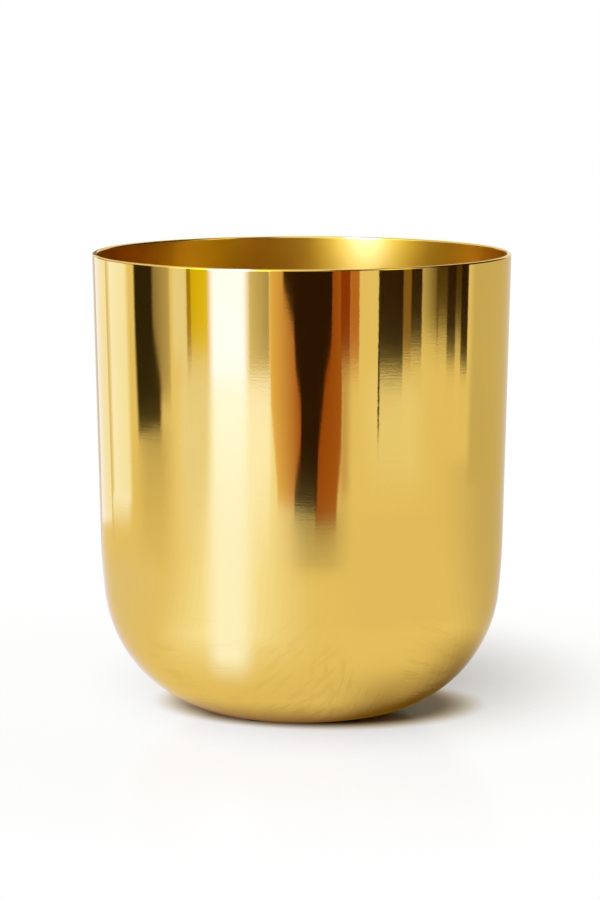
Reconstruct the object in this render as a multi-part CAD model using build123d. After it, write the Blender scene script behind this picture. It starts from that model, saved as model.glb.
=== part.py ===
from build123d import *

import math
import os

# Round metal cachepot: one spun brass shell that stands on small stick-on rubber feet.
# Millimetres, +Z up. The pot's axis is Z and the origin lies on the floor below its centre.

# Shell
rim_diameter = 140.0  # outside, across the mouth
shell_height = 154.2  # from the underside of the flat base to the rim
sheet = 1.5  # thickness of the spun metal
wall_taper = 1.42  # degrees that the wall leans in on its way down
hip_radius = 213.5  # slow bend, outside, between the wall and the corner
hip_turn = 5.2  # degrees that the slow bend turns
corner_radius = 45.4  # large round corner, outside
heel_radius = 8.0  # tighter bend, outside, that ends the corner at the flat base
heel_turn = 11.0  # degrees that the tighter bend turns
rim_round = 0.6  # rounding of the two edges of the cut rim

# Feet
foot_count = 4
foot_diameter = 10.0  # where the foot is stuck to the base
foot_height = 1.5
foot_draft = 6.0  # degrees that the side of a foot leans in on its way down
foot_round = 0.7  # rounding of the edge that meets the floor
foot_margin = 3.0  # from the edge of the flat base in to the nearest side of a foot
first_foot_angle = 45.0  # degrees from +X to the first foot

# A rounding takes at most this share of the thickness that it rounds.
largest_round = 0.45

# Headings of the outline as it comes down from the rim, in degrees from straight down
hip_end = wall_taper + hip_turn
base_heading = 90.0
heel_start = base_heading - heel_turn


def arc_drop(radius, start, end):
    """Height that an arc comes down while its heading goes from start to end."""
    return radius * (math.sin(math.radians(end)) - math.sin(math.radians(start)))


wall_lean = math.radians(wall_taper)
bends_drop = (
    arc_drop(hip_radius, wall_taper, hip_end)
    + arc_drop(corner_radius, hip_end, heel_start)
    + arc_drop(heel_radius, heel_start, base_heading)
)
wall_length = (shell_height - bends_drop) / math.cos(wall_lean)


def outline(depth):
    """Edges of the outline from the rim to the axis, as deep under the outer skin as depth says."""
    rim = Vector(rim_diameter / 2 - depth / math.cos(wall_lean), shell_height)
    wall_end = Vector(
        rim_diameter / 2 - wall_length * math.sin(wall_lean) - depth * math.cos(wall_lean),
        shell_height - wall_length * math.cos(wall_lean) + depth * math.sin(wall_lean),
    )
    wall = Line(rim, wall_end)
    hip = JernArc(wall @ 1, wall % 1, hip_radius - depth, -hip_turn)
    corner = JernArc(hip @ 1, hip % 1, corner_radius - depth, hip_end - heel_start)
    heel = JernArc(corner @ 1, corner % 1, heel_radius - depth, -heel_turn)
    base = Line(heel @ 1, Vector(0, (heel @ 1).Y))
    return [wall, hip, corner, heel, base]


def make_shell():
    """The pot: wall, round corner and flat base in one skin of even thickness, with a rounded rim."""
    outside = outline(0)
    inside = outline(sheet)
    rim_edge = Line(outside[0] @ 0, inside[0] @ 0)
    centre_edge = Line(outside[-1] @ 1, inside[-1] @ 1)
    section = make_face(outside + inside + [rim_edge, centre_edge])
    rim_corners = section.vertices().group_by(Axis.Y)[-1]
    section = fillet(rim_corners, min(rim_round, largest_round * sheet))
    return Pos(Z=foot_height) * revolve(Plane.XZ * section, Axis.Z)


def make_foot():
    """One round moulded bumper, standing on the floor at the origin, with its floor edge rounded."""
    floor_radius = foot_diameter / 2 - foot_height * math.tan(math.radians(foot_draft))
    bumper = Cone(floor_radius, foot_diameter / 2, foot_height, align=(Align.CENTER, Align.CENTER, Align.MIN))
    floor_edge = bumper.edges().group_by(Axis.Z)[0]
    return fillet(floor_edge, min(foot_round, largest_round * foot_height))


flat_base_radius = (outline(0)[-1] @ 0).X
foot_circle_radius = flat_base_radius - foot_margin - foot_diameter / 2

nodes = {"pot_shell": make_shell()}
for number in range(foot_count):
    place = PolarLocations(foot_circle_radius, foot_count, first_foot_angle).locations[number]
    nodes[f"bumper_foot_{number + 1}"] = place * make_foot()

os.makedirs("parts", exist_ok=True)
for name, solid in nodes.items():
    export_step(solid, f"parts/{name}.step")

print("flat base radius", round(flat_base_radius, 2), "foot circle radius", round(foot_circle_radius, 2))
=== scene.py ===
import math

import bpy
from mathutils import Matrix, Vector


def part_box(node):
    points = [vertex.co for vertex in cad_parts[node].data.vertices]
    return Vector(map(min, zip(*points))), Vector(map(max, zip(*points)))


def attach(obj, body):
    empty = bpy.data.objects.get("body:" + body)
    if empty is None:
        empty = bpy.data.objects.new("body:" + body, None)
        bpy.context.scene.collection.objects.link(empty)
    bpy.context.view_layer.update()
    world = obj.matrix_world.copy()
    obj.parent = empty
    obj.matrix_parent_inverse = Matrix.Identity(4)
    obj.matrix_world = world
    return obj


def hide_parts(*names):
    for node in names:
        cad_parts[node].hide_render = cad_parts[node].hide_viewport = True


# Polished brass cachepot on four rubber bumpers, in a white studio.
# Metres, +Z up. The pot's axis is Z, the floor is at height 0 and the camera looks along +Y.

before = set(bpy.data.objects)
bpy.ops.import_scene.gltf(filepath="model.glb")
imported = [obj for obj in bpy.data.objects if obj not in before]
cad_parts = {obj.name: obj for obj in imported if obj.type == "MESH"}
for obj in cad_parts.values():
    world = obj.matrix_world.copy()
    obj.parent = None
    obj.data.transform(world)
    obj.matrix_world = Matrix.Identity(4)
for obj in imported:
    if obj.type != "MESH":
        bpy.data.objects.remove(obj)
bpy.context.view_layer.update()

# Shell, with the same sizes as the CAD model
shell_low, shell_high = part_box("pot_shell")
BASE_HEIGHT = shell_low.z
RIM_HEIGHT = shell_high.z
RIM_RADIUS = 0.070
SHEET = 0.0015
TAPER = math.radians(1.42)
HIP_RADIUS = 0.2135
HIP_TURN = math.radians(5.2)
CORNER_RADIUS = 0.0454
HEEL_RADIUS = 0.008
HEEL_TURN = math.radians(11.0)
RIM_ROUND = 0.0006

# Fineness of the turned mesh
TURN_STEPS = 256
WALL_STEPS = 32
HIP_STEPS = 12
CORNER_STEPS = 48
HEEL_STEPS = 8
BASE_STEPS = 12
RIM_STEPS = 8
ON_AXIS = 1e-9  # a smaller radius is a single point

# Places in the shell's list of materials
POLISHED = 0
SATIN = 1


def skin(depth):
    """Points (radius, height, heading) of one skin from its rounded rim edge to the axis.

    The heading is the angle from straight down towards the axis, and depth is how far the skin lies
    under the outer one."""
    hip_end = TAPER + HIP_TURN
    heel_start = math.pi / 2 - HEEL_TURN
    arcs = [
        (HIP_RADIUS, TAPER, hip_end, HIP_STEPS),
        (CORNER_RADIUS, hip_end, heel_start, CORNER_STEPS),
        (HEEL_RADIUS, heel_start, math.pi / 2, HEEL_STEPS),
    ]
    bends_drop = sum(bend * (math.sin(end) - math.sin(start)) for bend, start, end, steps in arcs)
    wall_length = (RIM_HEIGHT - BASE_HEIGHT - bends_drop) / math.cos(TAPER)
    lean = math.sin(TAPER) if depth == 0 else -math.sin(TAPER)
    rounded = RIM_ROUND * (1 + lean) / math.cos(TAPER)
    wall_end = wall_length - depth * math.tan(TAPER)
    points = []
    for step in range(WALL_STEPS + 1):
        along = rounded + (wall_end - rounded) * step / WALL_STEPS
        radius = RIM_RADIUS - depth / math.cos(TAPER) - along * math.sin(TAPER)
        points.append((radius, RIM_HEIGHT - along * math.cos(TAPER), TAPER))
    for bend, start, end, steps in arcs:
        first_radius, first_height, heading = points[-1]
        for step in range(1, steps + 1):
            heading = start + (end - start) * step / steps
            radius = first_radius + (bend - depth) * (math.cos(heading) - math.cos(start))
            height = first_height - (bend - depth) * (math.sin(heading) - math.sin(start))
            points.append((radius, height, heading))
    flat_radius, flat_height, heading = points[-1]
    for step in range(1, BASE_STEPS + 1):
        points.append((flat_radius * (1 - step / BASE_STEPS), flat_height, heading))
    return points


def rim_edge():
    """Points (radius, height, normal angle) round the rim's two rounded edges, from outside to inside."""
    outer = RIM_RADIUS - RIM_ROUND * (1 + math.sin(TAPER)) / math.cos(TAPER)
    inner = RIM_RADIUS - SHEET / math.cos(TAPER) + RIM_ROUND * (1 - math.sin(TAPER)) / math.cos(TAPER)
    points = []
    for centre, start, end in [(outer, -TAPER, math.pi / 2), (inner, math.pi / 2, math.pi - TAPER)]:
        for step in range(RIM_STEPS + 1):
            angle = start + (end - start) * step / RIM_STEPS
            radius = centre + RIM_ROUND * math.cos(angle)
            points.append((radius, RIM_HEIGHT - RIM_ROUND + RIM_ROUND * math.sin(angle), angle))
    return points


def shell_section():
    """The whole section as (radius, height, normal angle, material).

    It starts under the base and goes up the outside, over the rim and down the inside."""
    section = []
    outside = skin(0)
    flat = len(outside) - BASE_STEPS - 1
    for number, (radius, height, heading) in reversed(list(enumerate(outside))):
        section.append((radius, height, -heading, SATIN if number > flat else POLISHED))
    for radius, height, angle in rim_edge()[1:-1]:
        section.append((radius, height, angle, POLISHED))
    for radius, height, heading in skin(SHEET):
        section.append((radius, height, math.pi - heading, SATIN))
    return section


def turned_mesh(name, section):
    """A mesh of the section turned round the Z axis, with its exact normals."""
    vertices = []
    normals = []
    rings = []
    for radius, height, angle, material in section:
        steps = TURN_STEPS if radius > ON_AXIS else 1
        rings.append(range(len(vertices), len(vertices) + steps))
        for step in range(steps):
            turn = 2 * math.pi * step / TURN_STEPS
            vertices.append((radius * math.cos(turn), radius * math.sin(turn), height))
            flat = math.cos(angle) if steps > 1 else 0.0
            normals.append((flat * math.cos(turn), flat * math.sin(turn), math.sin(angle)))
    faces = []
    materials = []
    finishes = [material for radius, height, angle, material in section]
    for low, high, start, end in zip(rings, rings[1:], finishes, finishes[1:]):
        for step in range(TURN_STEPS):
            following = (step + 1) % TURN_STEPS
            corners = [low[step % len(low)], low[following % len(low)]]
            corners += [high[following % len(high)], high[step % len(high)]]
            faces.append(list(dict.fromkeys(corners)))
            materials.append(max(start, end))
    mesh = bpy.data.meshes.new(name)
    mesh.from_pydata(vertices, [], faces)
    mesh.polygons.foreach_set("use_smooth", [True] * len(faces))
    mesh.polygons.foreach_set("material_index", materials)
    mesh.normals_split_custom_set_from_vertices(normals)
    return mesh


def add_object(name, data):
    """A new object in the scene that holds the data."""
    added = bpy.data.objects.new(name, data)
    bpy.context.scene.collection.objects.link(added)
    return added


# Nodes of the materials

NOISE_LEVELS = (0.3, 0.7)  # most of a noise lies between these


def feed(tree, node, inputs):
    """Links a node's inputs to outputs, or sets them where the sources are plain values."""
    for socket, source in inputs.items():
        if isinstance(source, bpy.types.NodeSocket):
            tree.links.new(source, node.inputs[socket])
        else:
            node.inputs[socket].default_value = source


def add_node(tree, kind, inputs, **settings):
    """A new shader node with its settings and its inputs."""
    node = tree.nodes.new("ShaderNode" + kind)
    for name, value in settings.items():
        setattr(node, name, value)
    feed(tree, node, inputs)
    return node


def calculate(tree, operation, first, second=0.0):
    """The result of a Math node."""
    return add_node(tree, "Math", {0: first, 1: second}, operation=operation).outputs["Value"]


def noise(tree, vector, scale, detail=2.0, distortion=0.0):
    """A noise from 0 to 1 with about scale features in a unit of the vector."""
    inputs = {"Vector": vector, "Scale": scale, "Detail": detail, "Distortion": distortion}
    return add_node(tree, "TexNoise", inputs).outputs["Fac"]


def between(tree, value, start, end, low, high):
    """The value's place between start and end, moved smoothly to between low and high."""
    inputs = {"Value": value, "From Min": start, "From Max": end, "To Min": low, "To Max": high}
    return add_node(tree, "MapRange", inputs, interpolation_type="SMOOTHSTEP").outputs["Result"]


def varied(tree, uneven, low, high):
    """A value between low and high that follows a noise."""
    return between(tree, uneven, *NOISE_LEVELS, low, high)


def blended(tree, amount, first_colour, last_colour):
    """A colour between two others."""
    inputs = {"Factor": amount, "A": (*first_colour, 1.0), "B": (*last_colour, 1.0)}
    return add_node(tree, "Mix", inputs, data_type="RGBA").outputs["Result"]


def axes(tree, vector):
    """The outputs X, Y and Z of a vector."""
    return add_node(tree, "SeparateXYZ", {"Vector": vector}).outputs


def object_place(tree):
    """Object coordinates."""
    return tree.nodes.new("ShaderNodeTexCoord").outputs["Object"]


def spun_place(tree, place):
    """A place as its distance from the Z axis and its height, so that it is the same all round."""
    parts = axes(tree, place)
    across = add_node(tree, "CombineXYZ", {"X": parts["X"], "Y": parts["Y"]}).outputs["Vector"]
    radius = add_node(tree, "VectorMath", {0: across}, operation="LENGTH").outputs["Value"]
    return add_node(tree, "CombineXYZ", {"X": radius, "Z": parts["Z"]}).outputs["Vector"]


def spin_tangent(tree):
    """A grain that runs round the axis, as spinning and polishing leave it."""
    return add_node(tree, "Tangent", {}, direction_type="RADIAL", axis="Z").outputs["Tangent"]


def relief(tree, height):
    """The normal of a surface with a relief, whose height is in metres."""
    return add_node(tree, "Bump", {"Distance": 1.0, "Height": height}).outputs["Normal"]


def new_material(name):
    """A node material, with its node tree and its Principled shader."""
    material = bpy.data.materials.new(name)
    material.use_nodes = True
    return material, material.node_tree, material.node_tree.nodes["Principled BSDF"]


def bare_material(name):
    """A node material without nodes, and its node tree."""
    material = bpy.data.materials.new(name)
    material.use_nodes = True
    material.node_tree.nodes.clear()
    return material, material.node_tree


# Materials of the pot

# Heights of the relief
POLISHED_GRAIN = 2.2e-6
POLISHED_PEEL = 5e-6
POLISHED_RINGS = 1.6e-6
RIPPLE_DEPTH = 6e-5
SATIN_RINGS = 3e-6
RUBBER_GRAIN = 3e-5

# Brass, where a ripple is painted towards the deeper colour as shade along its strokes
DEEP_BRASS = (0.735, 0.48, 0.090)
PALE_BRASS = (0.81, 0.535, 0.114)
RIPPLE_SHADE = 0.9
# Satin brass is painted deeper and more orange than the polished brass, as shade inside the pot
DEEP_SATIN = (0.65, 0.33, 0.002)
PALE_SATIN = (0.70, 0.36, 0.004)

# Rubber
BLACK_RUBBER = (0.016, 0.016, 0.017)
GREY_RUBBER = (0.034, 0.033, 0.032)

# Ripples in the round corner: places along X with the rise of their strokes to the right, in degrees
RIPPLE_PATCHES = [(-0.034, 6.0), (-0.002, 42.0), (0.015, 80.0), (0.042, -30.0)]
PATCH_CORE = 0.006
PATCH_REACH = 0.020
RIPPLES_FULL_BELOW = 0.020
RIPPLES_END_AT = 0.050
STROKE_LENGTH = 0.012
STROKE_WIDTH = 0.0021

# Levels of a noise where strokes and patches begin and where they are full
STROKE_LEVELS = (0.48, 0.68)
PATCH_LEVELS = (0.35, 0.55)


def strokes(tree, place, rise):
    """Soft strokes from 0 to 1, drawn out along a line that rises to the right by so many degrees."""
    turned = (0.0, -math.radians(rise), 0.0)
    size = (STROKE_LENGTH, STROKE_LENGTH, STROKE_WIDTH)
    inputs = {"Vector": place, "Rotation": turned, "Scale": size}
    drawn = add_node(tree, "Mapping", inputs, vector_type="TEXTURE").outputs["Vector"]
    return between(tree, noise(tree, drawn, scale=1.0, distortion=0.3), *STROKE_LEVELS, 0.0, 1.0)


def ripples(tree, place):
    """Marks from 0 to 1 that the drawing in of the round corner left, in patches of changing direction."""
    parts = axes(tree, place)
    marks = 0.0
    for middle, rise in RIPPLE_PATCHES:
        off_middle = calculate(tree, "ABSOLUTE", calculate(tree, "SUBTRACT", parts["X"], middle))
        near = between(tree, off_middle, PATCH_CORE, PATCH_REACH, 1.0, 0.0)
        patch = calculate(tree, "MULTIPLY", near, strokes(tree, place, rise))
        marks = calculate(tree, "MAXIMUM", patch, marks)
    scattered = between(tree, noise(tree, place, scale=55.0, detail=1.0), *PATCH_LEVELS, 0.0, 1.0)
    low_down = between(tree, parts["Z"], RIPPLES_FULL_BELOW, RIPPLES_END_AT, 1.0, 0.0)
    return calculate(tree, "MULTIPLY", calculate(tree, "MULTIPLY", marks, scattered), low_down)


def polished_brass():
    """Mirror-polished spun brass under clear lacquer, with faint ripples where the corner was drawn in, in
    relief and with painted shade along their strokes.
    """
    material, tree, shader = new_material("polished_brass")
    place = object_place(tree)
    spun = spun_place(tree, place)
    drawn = ripples(tree, place)
    haze = noise(tree, place, scale=60.0, detail=4.0)
    mottle = noise(tree, place, scale=18.0)
    grain = calculate(tree, "MULTIPLY", noise(tree, place, scale=1600.0, detail=1.0), POLISHED_GRAIN)
    peel = calculate(tree, "MULTIPLY", noise(tree, place, scale=150.0), POLISHED_PEEL)
    rings = calculate(tree, "MULTIPLY", noise(tree, spun, scale=1400.0, detail=1.0), POLISHED_RINGS)
    fine = calculate(tree, "ADD", calculate(tree, "ADD", grain, peel), rings)
    height = calculate(tree, "SUBTRACT", fine, calculate(tree, "MULTIPLY", drawn, RIPPLE_DEPTH))
    # random tone, and painted shade along the ripple strokes
    tone_and_ripple_shade = calculate(tree, "SUBTRACT", mottle, calculate(tree, "MULTIPLY", drawn, RIPPLE_SHADE))
    feed(tree, shader, {
        "Base Color": blended(tree, tone_and_ripple_shade, DEEP_BRASS, PALE_BRASS),
        "Metallic": 1.0,
        "Roughness": varied(tree, haze, 0.048, 0.060),
        "Anisotropic": 0.85,
        "Anisotropic Rotation": 0.25,
        "Specular Tint": (0.93, 0.83, 0.57, 1.0),
        "Coat Weight": 0.1,
        "Coat Roughness": 0.05,
        "Normal": relief(tree, height),
        "Tangent": spin_tangent(tree),
    })
    return material


def satin_brass():
    """The same brass left satin by the spinning, on the inside and under the base, its colour painted
    deeper and more orange as shade inside the pot.
    """
    material, tree, shader = new_material("satin_brass")
    place = object_place(tree)
    spun = spun_place(tree, place)
    haze = noise(tree, place, scale=80.0, detail=4.0)
    mottle = noise(tree, place, scale=30.0)
    rings = calculate(tree, "MULTIPLY", noise(tree, spun, scale=1000.0, detail=1.0), SATIN_RINGS)
    feed(tree, shader, {
        "Base Color": blended(tree, mottle, DEEP_SATIN, PALE_SATIN),
        "Metallic": 1.0,
        "Roughness": varied(tree, haze, 0.31, 0.35),
        "Anisotropic": 0.15,
        "Anisotropic Rotation": 0.25,
        "Specular Tint": (0.8, 0.6, 0.05, 1.0),
        "Coat Weight": 0.28,
        "Coat Roughness": 0.24,
        "Normal": relief(tree, rings),
        "Tangent": spin_tangent(tree),
    })
    return material


def foot_rubber():
    """Matte moulded rubber."""
    material, tree, shader = new_material("foot_rubber")
    place = object_place(tree)
    haze = noise(tree, place, scale=1500.0)
    mottle = noise(tree, place, scale=900.0, detail=4.0)
    grain = calculate(tree, "MULTIPLY", noise(tree, place, scale=4000.0, detail=3.0), RUBBER_GRAIN)
    feed(tree, shader, {
        "Base Color": blended(tree, mottle, BLACK_RUBBER, GREY_RUBBER),
        "Specular IOR Level": 0.35,
        "Roughness": varied(tree, haze, 0.62, 0.8),
        "Normal": relief(tree, grain),
    })
    return material


# The pot

shell = add_object("spun_shell", turned_mesh("spun_shell", shell_section()))
shell.data.materials.append(polished_brass())
shell.data.materials.append(satin_brass())
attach(shell, "root")
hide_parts("pot_shell")

rubber = foot_rubber()
for name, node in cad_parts.items():
    if name.startswith("bumper_foot"):
        node.material_slots[0].material = rubber

# Cards round the pot, which only show in polished surfaces

CARD_STEPS = 24
CARD_TOP = 0.30
HARD_EDGE = 0.0001  # share of a card over which an edge that isn't soft ends
LOWEST_LAYER = 0.0006
LAYER_STEP = 0.0003
CANOPY_DISTANCE = 0.95
CANOPY_EAVES = 0.90
CANOPY_TOP_DISTANCE = 0.45
CANOPY_TOP = 1.30


def unscattered(tree):
    """1 for light that reaches the camera straight or by polished surfaces, 0 after a matte one."""
    path = tree.nodes.new("ShaderNodeLightPath")
    return calculate(tree, "LESS_THAN", path.outputs["Diffuse Depth"], 0.5)


def card_material(name, colour, last_colour, soft_sides, soft_foot, strength):
    """Glow on a card's front, in one colour or from colour at its first side to last_colour.

    It fades out over soft_sides of the card's width at each side and over soft_foot of its height
    from its first row."""
    material, tree = bare_material(name)
    parts = axes(tree, tree.nodes.new("ShaderNodeTexCoord").outputs["UV"])
    off_centre = calculate(tree, "ABSOLUTE", calculate(tree, "SUBTRACT", parts["X"], 0.5))
    sides = between(tree, off_centre, 0.5 - soft_sides, 0.5 + HARD_EDGE, strength, 0.0)
    foot = between(tree, parts["Y"], -HARD_EDGE, soft_foot, 0.0, 1.0)
    back = tree.nodes.new("ShaderNodeNewGeometry").outputs["Backfacing"]
    front = calculate(tree, "SUBTRACT", unscattered(tree), back)
    shown = calculate(tree, "MULTIPLY", calculate(tree, "MULTIPLY", sides, foot), front)
    glow = blended(tree, parts["X"], colour, last_colour) if last_colour else (*colour, 1.0)
    mix = add_node(tree, "MixShader", {
        "Fac": calculate(tree, "MAXIMUM", shown, 0.0),
        1: add_node(tree, "BsdfTransparent", {}).outputs["BSDF"],
        2: add_node(tree, "Emission", {"Color": glow}).outputs["Emission"],
    })
    add_node(tree, "OutputMaterial", {"Surface": mix.outputs["Shader"]})
    return material


def card(name, rows, colour, soft_sides, soft_foot=0.0, strength=1.0, last_colour=None):
    """A curved card, as card_material says, that only polished surfaces show.

    Each row is (distance from the axis, height, first azimuth, last azimuth), with the azimuths in
    degrees to the right of the camera."""
    vertices = []
    corners = []
    for number, (distance, height, first, last) in enumerate(rows):
        for step in range(CARD_STEPS + 1):
            share = step / CARD_STEPS
            turn = math.radians(first + (last - first) * share)
            vertices.append((distance * math.sin(turn), -distance * math.cos(turn), height))
            corners.append((share, number / (len(rows) - 1)))
    faces = []
    for number in range(len(rows) - 1):
        for step in range(CARD_STEPS):
            low = number * (CARD_STEPS + 1) + step
            high = low + CARD_STEPS + 1
            faces.append((low, high, high + 1, low + 1))
    mesh = bpy.data.meshes.new(name)
    mesh.from_pydata(vertices, [], faces)
    layer = mesh.uv_layers.new(name="card")
    for loop in mesh.loops:
        layer.data[loop.index].uv = corners[loop.vertex_index]
    mesh.materials.append(card_material(name, colour, last_colour, soft_sides, soft_foot, strength))
    added = add_object(name, mesh)
    added.visible_camera = False
    added.visible_diffuse = False
    added.visible_shadow = False


def upright(distance, first, last, low=0.0, high=CARD_TOP):
    """Rows of a card that stands upright."""
    return [(distance, low, first, last), (distance, high, first, last)]


def shaped(distance, edges):
    """Rows of an upright card whose edges, each (height, first, last), change on the way up."""
    return [(distance, height, first, last) for height, first, last in edges]


def canopy(low, first, last):
    """Rows of an upright card that leans in over the pot at its top."""
    eaves = upright(CANOPY_DISTANCE, first, last, low, CANOPY_EAVES)
    return eaves + [(CANOPY_TOP_DISTANCE, CANOPY_TOP, first, last)]


def spread(layer, edges):
    """Rows of a card over the table whose edges, each (distance, first, last), change on the way.

    A card hides what lies in the layers under it."""
    height = LOWEST_LAYER + LAYER_STEP * layer
    return [(distance, height, first, last) for distance, first, last in edges]


def lying(layer, start, end, first, last):
    """Rows of a card over the table from one distance to another."""
    return spread(layer, [(start, first, last), (end, first, last)])


# Colours of the cards that are darker than the white studio
DARK = (0.034, 0.028, 0.017)
DARK_BROWN = (0.028, 0.013, 0.006)
SHADE = (0.10, 0.08, 0.06)
WARM_SHADE = (0.16, 0.09, 0.0)
RING_SHADE = (0.22, 0.09, 0.0)
GREY = (0.74, 0.74, 0.75)
# grey of a painted shade on the table at the far right
TABLE_SHADE_GREY = (0.75, 0.755, 0.83)
WARM_GREY = (0.50, 0.47, 0.45)
PALE_GREY = (0.78, 0.79, 0.84)
PALE = (0.82, 0.86, 0.98)
TAN = (0.26, 0.215, 0.17)
PALE_TAN = (0.66, 0.64, 0.68)
DARK_TAN = (0.085, 0.055, 0.010)
SIDE_TAN = (0.66, 0.64, 0.56)
LINE_TAN = (0.26, 0.17, 0.06)
OLIVE = (0.46, 0.34, 0.003)
OLIVE_DARK = (0.30, 0.24, 0.10)
YELLOW = (0.98, 0.94, 0.0)
DEEP_YELLOW = (0.84, 0.74, 0.0)
AMBER = (0.98, 0.78, 0.50)
DEEP_ORANGE = (0.40, 0.05, 0.0)
BROWN = (0.46, 0.17, 0.05)
DEEP_BROWN = (0.38, 0.11, 0.015)
RED_BROWN = (0.32, 0.06, 0.006)
RUST = (0.60, 0.25, 0.09)

# Colours of the cards that shine, bluish where brass has to mirror them as white
STRIP = (1.40, 1.95, 8.0)
STRIP_TOP = (1.6, 2.3, 10.5)
INSIDE_LIGHT = (9.2, 14.0, 170.0)
INSIDE_SIDE = (2.3, 2.4, 0.2)
INSIDE_GLOW = (3.3, 4.1, 1.0)
GLOW = (1.28, 1.70, 4.6)
FAR_GLOW = (1.31, 1.82, 5.6)
SHOULDER = (1.28, 1.60, 3.8)
HALO = (1.25, 1.52, 2.8)
EDGE = (1.25, 1.60, 4.2)
FAR_EDGE = (1.18, 1.44, 2.7)
POST = (0.90, 0.94, 1.3)
LIGHT = (1.03, 1.16, 1.85)
SHEEN = (1.05, 1.13, 1.42)
TABLE_LIGHT = (0.95, 1.0, 1.36)

# Distances and heights that several cards share
BEHIND_DISTANCE = 0.60
LEFT_FLAG_DISTANCE = 0.69
FRONT_FLAG_DISTANCE = 0.465
STRIP_DISTANCE = 0.80
STRIP_JOINT = 0.08
STRIP_END = 0.15
LOW_TOP = 0.16
INSIDE_TOP = 0.95

# Left of the camera, from behind the pot to the front
LIGHT_LEFT = upright(0.50, -128.6, -103.0, 0.0, LOW_TOP)
LEFT_FLAG = [
    (0.0, -100.8, -80.0), (0.010, -101.2, -79.3), (0.022, -101.6, -78.8),
    (0.032, -101.8, -80.6), (0.050, -101.8, -84.6), (CARD_TOP, -101.4, -83.8),
]
card("card_rim_behind", upright(0.58, 178.0, 200.0, 0.15, 0.232), OLIVE_DARK, soft_sides=0.2)
card("card_behind", upright(BEHIND_DISTANCE, 150.0, 210.0, 0.0, 0.14), PALE_GREY, soft_sides=0.1)
card("card_post_left", upright(0.40, -128.8, -126.2), POST, soft_sides=0.3)
card("card_light_edge", upright(0.45, -153.0, -127.5, 0.0, LOW_TOP), FAR_EDGE, soft_sides=0.1)
card("card_light_left", LIGHT_LEFT, EDGE, soft_sides=0.2, last_colour=FAR_EDGE)
card("card_dark_left", shaped(LEFT_FLAG_DISTANCE, LEFT_FLAG), DARK, soft_sides=0.14)
card("card_tan_left", upright(0.78, -88.5, -73.0), TAN, soft_sides=0.15, last_colour=PALE_TAN)
card("card_light_far", upright(0.92, -73.5, -63.0), LIGHT, soft_sides=0.2)
card("card_olive", upright(0.90, -63.5, -59.0), OLIVE, soft_sides=0.1)
card("card_yellow", upright(0.89, -61.2, -49.5), DEEP_YELLOW, soft_sides=0.08, last_colour=YELLOW)
card("card_grey_front", upright(0.86, -28.0, -16.6), PALE, soft_sides=0.08, last_colour=WARM_GREY)

# Front, where a dark flag covers part of an orange board and a brown board covers part of the flag
ORANGE_BOARD = [
    (0.0, -12.4, 2.0), (0.013, -13.2, 2.0), (0.030, -14.6, 2.0),
    (0.043, -16.0, 2.0), (0.060, -16.2, 2.0), (CARD_TOP, -15.8, 2.0),
]
FRONT_FLAG = [
    (0.0, -4.2, 8.6), (0.010, -4.0, 9.0), (0.018, -2.8, 9.4),
    (0.028, -0.8, 10.0), (0.045, -0.6, 12.6), (0.061, -3.6, 15.0),
    (0.078, -4.6, 17.6), (0.095, -10.0, 17.6), (CARD_TOP, -10.6, 17.6),
]
BROWN_BOARD = [
    (0.0, 6.6, 17.6), (0.011, 7.4, 18.4), (0.031, 8.0, 20.4), (0.048, 10.2, 20.5),
    (0.060, 11.4, 20.4), (0.072, 14.2, 20.0), (0.081, 15.0, 19.6), (CARD_TOP, 15.2, 19.6),
]
BROWN_TAIL = upright(0.50, 17.0, 27.0, 0.0, 0.06)
card("card_orange_board", shaped(0.475, ORANGE_BOARD), AMBER, soft_sides=0.04, last_colour=DEEP_ORANGE)
card("card_front_flag", shaped(FRONT_FLAG_DISTANCE, FRONT_FLAG), DARK_BROWN, soft_sides=0.05)
card("card_brown_board", shaped(0.44, BROWN_BOARD), DEEP_BROWN, soft_sides=0.05, last_colour=BROWN)
card("card_brown_tail", BROWN_TAIL, RUST, soft_sides=0.5, strength=0.7, last_colour=PALE_TAN)
card("card_red_board", upright(0.83, 19.8, 25.4), RED_BROWN, soft_sides=0.06, soft_foot=0.03)
card("card_rust_board", upright(0.84, 25.0, 30.4), RUST, soft_sides=0.1, soft_foot=0.03)

# Right of the camera, from the front to behind the pot
TAN_SIDE = upright(0.93, 66.0, 78.0)
GREY_RIGHT = upright(0.55, 98.0, 176.0, 0.0, LOW_TOP)
card("card_post_right", upright(0.64, 40.0, 41.2), DARK, soft_sides=0.2)
card("card_dark_right", upright(0.81, 41.0, 55.0), DARK_BROWN, soft_sides=0.04, soft_foot=0.04)
card("card_line_right", upright(0.88, 54.0, 60.0), LINE_TAN, soft_sides=0.1, soft_foot=0.03)
card("card_dark_side", upright(0.89, 59.0, 66.8), DARK_BROWN, soft_sides=0.08, soft_foot=0.05)
card("card_tan_side", TAN_SIDE, SIDE_TAN, soft_sides=0.06, soft_foot=0.08, last_colour=DARK_TAN)
card("card_dark_upper", upright(0.92, 75.5, 99.5), DARK_TAN, soft_sides=0.08, soft_foot=0.10)
card("card_dark_far", upright(0.91, 83.3, 90.8), DARK_BROWN, soft_sides=0.15, soft_foot=0.03)
card("card_dark_last", upright(0.90, 94.2, 101.0), DARK_BROWN, soft_sides=0.15, soft_foot=0.02)
card("card_grey_right", GREY_RIGHT, GREY, soft_sides=0.09, last_colour=PALE_GREY)

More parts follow.
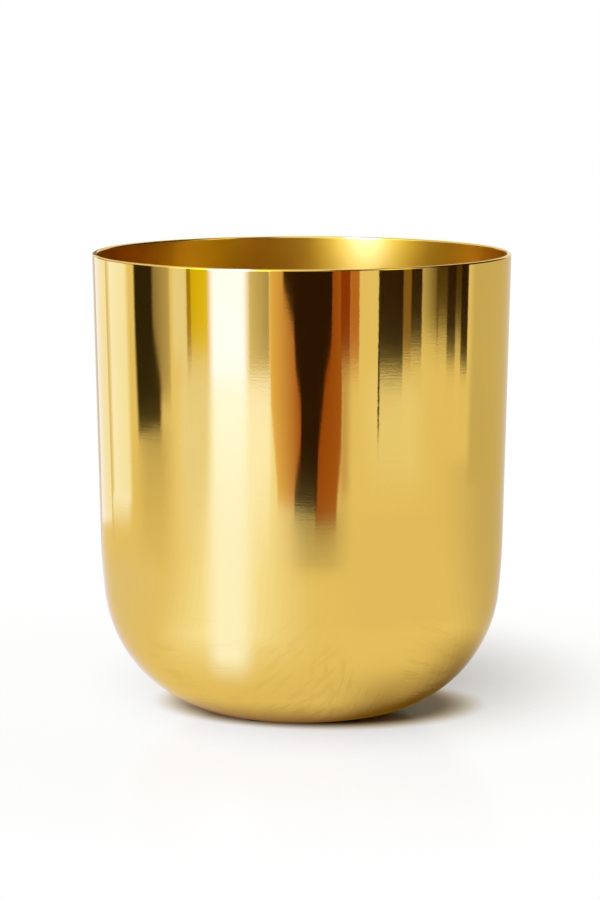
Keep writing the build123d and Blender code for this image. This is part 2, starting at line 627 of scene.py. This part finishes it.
# Shades on the table, and a pale light at its far left
FAR_RIGHT = lying(0, 0.62, 0.031, 215.0, 70.0)
FAR_LEFT = lying(1, 0.45, 0.05, -60.0, -215.0)
BASE_RING = lying(2, 0.050, 0.020, 180.0, -180.0)
BASE_RIGHT = lying(3, 0.078, 0.031, 100.0, 8.0)
SIDE_RIGHT = lying(4, 0.125, 0.031, 215.0, 45.0)
FRONT = lying(5, 0.25, FRONT_FLAG_DISTANCE, -14.0, 28.0)
LEFT = lying(6, 0.25, LEFT_FLAG_DISTANCE, -104.0, -68.0)
BEHIND = lying(7, 0.07, BEHIND_DISTANCE, 148.0, 208.0)
TABLE_FRONT = lying(8, 0.10, 0.45, -6.0, 104.0)
card("shade_far_right", FAR_RIGHT, TABLE_SHADE_GREY, soft_sides=0.35, soft_foot=0.05)
card("light_far_left", FAR_LEFT, TABLE_LIGHT, soft_sides=0.35, soft_foot=0.5)
card("shade_base", BASE_RING, RING_SHADE, soft_sides=0.0, soft_foot=0.63, strength=0.8)
card("shade_base_right", BASE_RIGHT, WARM_SHADE, soft_sides=0.4, soft_foot=1.0, strength=0.8)
card("shade_side_right", SIDE_RIGHT, WARM_SHADE, soft_sides=0.3, soft_foot=1.0)
card("shade_front", FRONT, SHADE, soft_sides=0.4, soft_foot=1.0, strength=0.55)
card("shade_left", LEFT, SHADE, soft_sides=0.4, soft_foot=1.0, strength=0.30)
card("shade_behind", BEHIND, PALE_GREY, soft_sides=0.2, soft_foot=0.3)
card("shade_table", TABLE_FRONT, GREY, soft_sides=0.4, soft_foot=0.2, strength=0.16)

# Glows on the table, below the bright strip and beside it
HALO_ROWS = lying(9, 0.05, STRIP_DISTANCE, -82.0, 10.0)
GLOW_EDGES = [
    (0.055, -44.0, -17.0), (0.09, -44.5, -17.5),
    (0.20, -52.0, -19.5), (STRIP_DISTANCE, -57.0, -21.0),
]
FAR_GLOW_ROWS = lying(11, 0.25, STRIP_DISTANCE, -56.0, -21.0)
SHOULDER_ROWS = lying(12, 0.25, STRIP_DISTANCE, -30.0, -14.5)
SIDE_ROWS = lying(13, 0.38, 0.50, -153.0, -103.0)
LEFT_ROWS = lying(14, 0.30, 0.88, -70.0, -46.0)
RIGHT_ROWS = lying(15, 0.45, STRIP_DISTANCE, 27.0, 74.0)
card("strip_halo", HALO_ROWS, HALO, soft_sides=0.5, soft_foot=0.09)
card("strip_glow", spread(10, GLOW_EDGES), GLOW, soft_sides=0.4, soft_foot=0.29)
card("strip_glow_far", FAR_GLOW_ROWS, FAR_GLOW, soft_sides=0.4, soft_foot=1.0)
card("strip_shoulder", SHOULDER_ROWS, SHOULDER, soft_sides=0.25, soft_foot=0.7)
card("light_table_side", SIDE_ROWS, FAR_EDGE, soft_sides=0.15, soft_foot=1.0, last_colour=EDGE)
card("light_table_left", LEFT_ROWS, LIGHT, soft_sides=0.3, soft_foot=0.6)
card("light_table_right", RIGHT_ROWS, SHEEN, soft_sides=0.35, soft_foot=0.4)

# The bright strip, and higher up the lights and dark canopies for the inside and the rim
STRIP_LOWER = upright(STRIP_DISTANCE, -51.5, -26.5, 0.0, STRIP_JOINT)
STRIP_UPPER = upright(STRIP_DISTANCE, -52.5, -24.0, STRIP_JOINT, STRIP_END)
OVER_STRIP = upright(STRIP_DISTANCE, -52.5, -26.0, STRIP_END, INSIDE_TOP)
card("strip_light", STRIP_LOWER, STRIP, soft_sides=0.2)
card("strip_light_top", STRIP_UPPER, STRIP_TOP, soft_sides=0.25)
card("inside_light", OVER_STRIP, INSIDE_LIGHT, soft_sides=0.35)
card("inside_glow", upright(0.85, -92.0, 16.0, STRIP_END, INSIDE_TOP), INSIDE_GLOW, soft_sides=0.5)
card("inside_side", upright(0.90, 40.0, 66.0, STRIP_END, 0.90), INSIDE_SIDE, soft_sides=0.3)
card("canopy_front", canopy(0.31, 17.0, 52.0), DARK_BROWN, soft_sides=0.08)
card("canopy_side", canopy(LOW_TOP, 70.0, 150.0), DARK_BROWN, soft_sides=0.08)
card("canopy_left", upright(CANOPY_DISTANCE, -150.0, -95.0, LOW_TOP, 0.34), DARK_BROWN, soft_sides=0.08)

# Table: middle, reach and stretch along X of the painted contact shadow, shade beside the base and cast
# shadow, the places where it isn't plain white

FLOOR_HALF = 6.0
CONTACT_MIDDLE = (0.0, 0.020)
CONTACT_REACH = (0.034, 0.053)
BASE_MIDDLE = (0.0105, 0.0120)
BASE_STRETCH = 0.90
BASE_REACH = (0.032, 0.049)
SHADOW_MIDDLE = (0.0217, 0.0636)
SHADOW_STRETCH = 1.5
SHADOW_REACH = (0.0, 0.155)
SHADOW_WHITE = 0.33  # share of plain white in the middle of the shadow
SHINE_REACH = (0.10, 0.26)
SHINE = 0.09  # share of gloss next to the pot
# colour of the table where it isn't plain white, painted dark and warm as shade; the lamps light it
SHADED_TABLE = (0.270, 0.190, 0.100, 1.0)
SHINE_COLOUR = (1.0, 0.99, 0.75, 1.0)

# Light that the brass throws on the table, from under the pot outwards
BRASS_BOUNCE = (1.0, 0.82, 0.54, 1.0)
FADING_BOUNCE = [(0.50, (1.0, 0.89, 0.70, 1.0)), (0.85, (1.0, 0.96, 0.90, 1.0))]


def distance_from(tree, place, middle, stretch=1.0):
    """Distance from a point on the table, with X stretched so that equal distances lie on ellipses."""
    stretched = add_node(tree, "VectorMath", {0: place, 1: (stretch, 1.0, 1.0)}, operation="MULTIPLY")
    centre = (middle[0] * stretch, middle[1], 0.0)
    inputs = {0: stretched.outputs["Vector"], 1: centre}
    return add_node(tree, "VectorMath", inputs, operation="DISTANCE").outputs["Value"]


def studio_floor():
    """White table with a faint gloss.

    The lamps light it under the pot and in its shadow, where masks paint a contact shadow and a cast
    shadow in a dark, warm colour and paint the brass's bounce light, and it is plain white further out."""
    material, tree = bare_material("studio_floor")
    place = object_place(tree)
    from_base = distance_from(tree, place, BASE_MIDDLE, BASE_STRETCH)
    off_contact = between(tree, distance_from(tree, place, CONTACT_MIDDLE), *CONTACT_REACH, 0.0, 1.0)
    off_base = between(tree, from_base, *BASE_REACH, 0.0, 1.0)
    from_shadow = distance_from(tree, place, SHADOW_MIDDLE, SHADOW_STRETCH)
    off_shadow = between(tree, from_shadow, *SHADOW_REACH, SHADOW_WHITE, 1.0)
    beside_base = calculate(tree, "MULTIPLY", off_contact, off_base)
    bounce = add_node(tree, "ValToRGB", {"Fac": beside_base})
    bounce.color_ramp.interpolation = "EASE"
    bounce.color_ramp.elements[0].color = BRASS_BOUNCE
    for reach, colour in FADING_BOUNCE:
        bounce.color_ramp.elements.new(reach).color = colour
    # lamp-lit dark colour near the pot and plain white further out, blended by the painted shadow masks
    matte = add_node(tree, "MixShader", {
        "Fac": calculate(tree, "MULTIPLY", beside_base, off_shadow),
        1: add_node(tree, "BsdfDiffuse", {"Color": SHADED_TABLE}).outputs["BSDF"],
        2: add_node(tree, "Emission", {"Color": bounce.outputs["Color"]}).outputs["Emission"],
    })
    path = tree.nodes.new("ShaderNodeLightPath")
    shine = between(tree, from_base, *SHINE_REACH, SHINE, 0.0)
    table = add_node(tree, "MixShader", {
        "Fac": calculate(tree, "MULTIPLY", shine, path.outputs["Is Camera Ray"]),
        1: matte.outputs["Shader"],
        2: add_node(tree, "BsdfAnisotropic", {"Color": SHINE_COLOUR, "Roughness": 0.18}).outputs["BSDF"],
    })
    add_node(tree, "OutputMaterial", {"Surface": table.outputs["Shader"]})
    return material


floor_corners = [(-FLOOR_HALF, -FLOOR_HALF, 0.0), (FLOOR_HALF, -FLOOR_HALF, 0.0)]
floor_corners += [(FLOOR_HALF, FLOOR_HALF, 0.0), (-FLOOR_HALF, FLOOR_HALF, 0.0)]
floor_mesh = bpy.data.meshes.new("floor")
floor_mesh.from_pydata(floor_corners, [], [(0, 1, 2, 3)])
floor_mesh.materials.append(studio_floor())
floor = add_object("floor", floor_mesh)

# Light

AMBIENT = 0.48
AIM_HEIGHT = 0.07


def studio_world():
    """White for the camera and for polished surfaces, and soft ambient light for the rest."""
    world = bpy.data.worlds.new("studio")
    world.use_nodes = True
    tree = world.node_tree
    path = tree.nodes.new("ShaderNodeLightPath")
    seen = calculate(tree, "MAXIMUM", path.outputs["Is Camera Ray"], path.outputs["Is Glossy Ray"])
    straight = calculate(tree, "MULTIPLY", seen, unscattered(tree))
    feed(tree, tree.nodes["Background"], {
        "Color": (1.0, 1.0, 1.0, 1.0),
        "Strength": between(tree, straight, 0.0, 1.0, AMBIENT, 1.0),
    })
    bpy.context.scene.world = world


def area_light(name, azimuth, distance, height, width, tall, power):
    """A soft box that stands at an azimuth to the right of the camera and points at the pot."""
    light = bpy.data.lights.new(name, "AREA")
    light.shape = "RECTANGLE"
    light.size = width
    light.size_y = tall
    light.energy = power
    added = add_object(name, light)
    turn = math.radians(azimuth)
    added.location = (distance * math.sin(turn), -distance * math.cos(turn), height)
    added.rotation_euler = (math.atan2(distance, height - AIM_HEIGHT), 0.0, turn)
    added.visible_glossy = False
    added.visible_camera = False


studio_world()
area_light("strip_lamp", azimuth=-42.0, distance=0.90, height=0.70, width=0.45, tall=0.70, power=7.0)
area_light("front_light", azimuth=-20.0, distance=1.2, height=1.1, width=1.2, tall=0.9, power=6.0)

# Camera, where the photograph was taken from

CAMERA_PITCH = math.radians(7.289)
camera_data = bpy.data.cameras.new("camera")
camera_data.lens = 167.9
camera_data.sensor_width = 36.0
camera = add_object("camera", camera_data)
camera.location = (-0.0006, -1.400, 0.2681)
camera.rotation_euler = (math.pi / 2 - CAMERA_PITCH, 0.0, 0.0)
bpy.context.scene.camera = camera
bpy.context.scene.view_settings.view_transform = "Standard"
